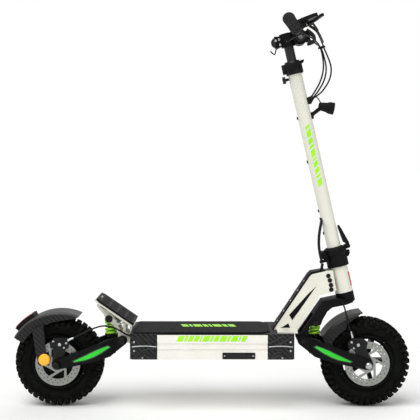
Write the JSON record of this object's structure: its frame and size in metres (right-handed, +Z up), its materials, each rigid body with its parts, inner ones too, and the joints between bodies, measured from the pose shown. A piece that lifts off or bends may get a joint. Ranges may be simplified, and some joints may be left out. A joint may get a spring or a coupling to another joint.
{
  "type": "electric kick scooter",
  "caption": "Folding electric kick scooter with knobbly tyres, coil-sprung swing arms, disc brakes, a deck with a rear footrest and a telescopic stem.",
  "frame": {"origin": "on the ground, midway between the axles, in the centre plane", "axes": "+X forward, +Y to the rider's left, +Z up"},
  "size_m": [1.244, 0.614, 1.2298],
  "materials": {
    "white_paint": "satin powder coat",
    "black_paint": "satin powder coat",
    "black_plastic": "fine moulded grain",
    "carbon_look": "twill pattern under clear coat",
    "steel": "ground and drilled",
    "alloy": "machined",
    "tyre": "knobbly off-road tread",
    "rubber": "moulded ribs",
    "spring_green": "gloss enamel on spring steel",
    "red_lens": "prismatic lens",
    "battery_wrap": "heat-shrink film"
  },
  "bodies": {
    "chassis": {"deck_frame": "white_paint", "deck_lid": "alloy", "deck_mat": "rubber", "corner_blocks": "carbon_look", "battery_pack": "battery_wrap", "motor_controller": "alloy", "neck_plates": "white_paint", "neck_core": "black_paint", "head_tube": "white_paint", "headset_bearings": "steel", "rear_bracket": "white_paint", "footrest": "black_plastic", "lower_loom": "rubber", "rear_brake_cable": "rubber"},
    "rear_arm": {"rear_arm": "black_paint", "rear_fender": "carbon_look", "tail_light": "red_lens", "rear_axle": "steel", "rear_caliper": "black_paint"},
    "rear_wheel": {"rear_tyre": "tyre", "rear_hub": "black_paint", "rear_rotor": "steel"},
    "rear_shock_body": {"rear_shock_body": "alloy", "rear_spring": "spring_green"},
    "rear_shock_rod": {"rear_shock_rod": "steel"},
    "rear_caliper_arm": {"rear_caliper_arm": "steel"},
    "steering": {"fork": "black_paint", "steerer": "black_paint"},
    "front_arm": {"front_arm": "black_paint", "front_fender": "carbon_look", "front_axle": "steel", "front_caliper": "black_paint", "front_brake_cable": "rubber"},
    "front_wheel": {"front_tyre": "tyre", "front_hub": "black_paint", "front_rotor": "steel"},
    "front_shock_body": {"front_shock_body": "alloy", "front_spring": "spring_green"},
    "front_shock_rod": {"front_shock_rod": "steel"},
    "front_caliper_arm": {"front_caliper_arm": "steel"},
    "stem": {"stem_tube": "white_paint", "fold_yoke": "black_paint", "clamp_collar": "black_paint", "headlight": "black_plastic", "upper_loom": "rubber", "handlebar_cables": "rubber"},
    "collar_lever": {"collar_lever": "black_paint"},
    "index_plunger": {"index_plunger": "steel"},
    "fold_latch": {"fold_latch": "black_paint"},
    "telescope": {"inner_tube": "black_paint", "stem_head": "black_paint", "handlebar": "black_paint", "grips": "rubber", "control_pods": "black_plastic", "display": "black_plastic"},
    "brake_lever_left": {"brake_lever_left": "black_paint"},
    "brake_lever_right": {"brake_lever_right": "black_paint"},
    "throttle": {"throttle": "black_plastic"},
    "power_button": {"power_button": "black_plastic"},
    "kickstand": {"kickstand": "black_paint"}
  },
  "joints": [
    {"name": "steer", "type": "hinge", "parent": "chassis", "child": "steering", "pos_m": [0.40688, 0, 0.39797], "axis": [-0.2255, 0, 0.9743], "range_deg": [-40, 40], "deforming": ["lower_loom"]},
    {"name": "front_suspension", "type": "hinge", "parent": "steering", "child": "front_arm", "pos_m": [0.281, 0, 0.211], "axis": [0, -1, 0], "range_deg": [0, 6], "stiffness_Nm_per_rad": 600, "springref_deg": -5.16, "deforming": ["front_brake_cable"]},
    {"name": "front_wheel_spin", "type": "hinge", "parent": "front_arm", "child": "front_wheel", "pos_m": [0.482, 0, 0.14], "axis": [0, 1, 0], "continuous": true},
    {"name": "front_shock_tilt", "type": "hinge", "parent": "steering", "child": "front_shock_body", "pos_m": [0.321, 0, 0.265], "axis": [0, -1, 0], "range_deg": [-4, 4]},
    {"name": "front_shock_travel", "type": "slide", "parent": "front_shock_body", "child": "front_shock_rod", "axis": [0, 0, 1], "range_m": [0, 0.006], "deforming": ["front_spring"]},
    {"name": "front_brake_cam", "type": "hinge", "parent": "front_arm", "child": "front_caliper_arm", "pos_m": [0.452, -0.068, 0.201], "axis": [0, 1, 0], "range_deg": [0, 20]},
    {"name": "rear_suspension", "type": "hinge", "parent": "chassis", "child": "rear_arm", "pos_m": [-0.281, 0, 0.211], "axis": [0, 1, 0], "range_deg": [0, 8], "stiffness_Nm_per_rad": 600, "springref_deg": -5.16, "deforming": ["rear_brake_cable"]},
    {"name": "rear_wheel_spin", "type": "hinge", "parent": "rear_arm", "child": "rear_wheel", "pos_m": [-0.482, 0, 0.14], "axis": [0, 1, 0], "continuous": true},
    {"name": "rear_shock_tilt", "type": "hinge", "parent": "chassis", "child": "rear_shock_body", "pos_m": [-0.321, 0, 0.281], "axis": [0, 1, 0], "range_deg": [-4, 4]},
    {"name": "rear_shock_travel", "type": "slide", "parent": "rear_shock_body", "child": "rear_shock_rod", "axis": [0, 0, 1], "range_m": [0, 0.008], "deforming": ["rear_spring"]},
    {"name": "rear_brake_cam", "type": "hinge", "parent": "rear_arm", "child": "rear_caliper_arm", "pos_m": [-0.474, -0.068, 0.202], "axis": [0, -1, 0], "range_deg": [0, 20]},
    {"name": "stem_fold", "type": "hinge", "parent": "steering", "child": "stem", "pos_m": [0.34863, 0, 0.47892], "axis": [0, -1, 0], "range_deg": [0, 84], "deforming": ["upper_loom"]},
    {"name": "fold_latch_turn", "type": "hinge", "parent": "stem", "child": "fold_latch", "pos_m": [0.42694, 0, 0.50423], "axis": [0, 1, 0], "range_deg": [0, 75]},
    {"name": "collar_lever_turn", "type": "hinge", "parent": "stem", "child": "collar_lever", "pos_m": [0.22338, -0.018, 1.0545], "axis": [0, -1, 0], "range_deg": [0, 100]},
    {"name": "index_plunger_pull", "type": "slide", "parent": "stem", "child": "index_plunger", "axis": [-0.9743, 0, -0.2255], "range_m": [0, 0.006], "stiffness_N_per_m": 600, "springref_m": -0.002},
    {"name": "telescope_slide", "type": "slide", "parent": "stem", "child": "telescope", "axis": [-0.2255, 0, 0.9743], "range_m": [-0.04, 0], "deforming": ["handlebar_cables"]},
    {"name": "brake_lever_left_pull", "type": "hinge", "parent": "telescope", "child": "brake_lever_left", "pos_m": [0.28712, 0.16, 1.17738], "axis": [-0.342, 0, 0.9397], "range_deg": [0, 20], "stiffness_Nm_per_rad": 2, "springref_deg": -5.73},
    {"name": "brake_lever_right_pull", "type": "hinge", "parent": "telescope", "child": "brake_lever_right", "pos_m": [0.28712, -0.16, 1.17738], "axis": [0.342, 0, -0.9397], "range_deg": [0, 20], "stiffness_Nm_per_rad": 2, "springref_deg": -5.73},
    {"name": "throttle_press", "type": "hinge", "parent": "telescope", "child": "throttle", "pos_m": [0.25553, -0.124, 1.16039], "axis": [-0.2133, -0.9744, 0.0711], "range_deg": [0, 30], "stiffness_Nm_per_rad": 0.25, "springref_deg": -22.92},
    {"name": "power_button_press", "type": "slide", "parent": "telescope", "child": "power_button", "axis": [0.3584, 0, -0.9336], "range_m": [0, 0.0012], "stiffness_N_per_m": 400, "springref_m": -0.0005},
    {"name": "kickstand_swing", "type": "hinge", "parent": "chassis", "child": "kickstand", "pos_m": [-0.07, 0.126, 0.182], "axis": [0, -1, 0], "range_deg": [0, 105]}
  ],
  "couplings": [
    {"joint": "front_shock_tilt", "follows": "front_suspension", "ratio": 0.0353},
    {"joint": "front_shock_travel", "follows": "front_suspension", "m_per_rad": 0.04013},
    {"joint": "rear_shock_tilt", "follows": "rear_suspension", "ratio": 0.0175},
    {"joint": "rear_shock_travel", "follows": "rear_suspension", "m_per_rad": 0.04015},
    {"joint": "front_brake_cam", "follows": "brake_lever_right_pull", "ratio": 0.9},
    {"joint": "rear_brake_cam", "follows": "brake_lever_left_pull", "ratio": 0.9}
  ]
}
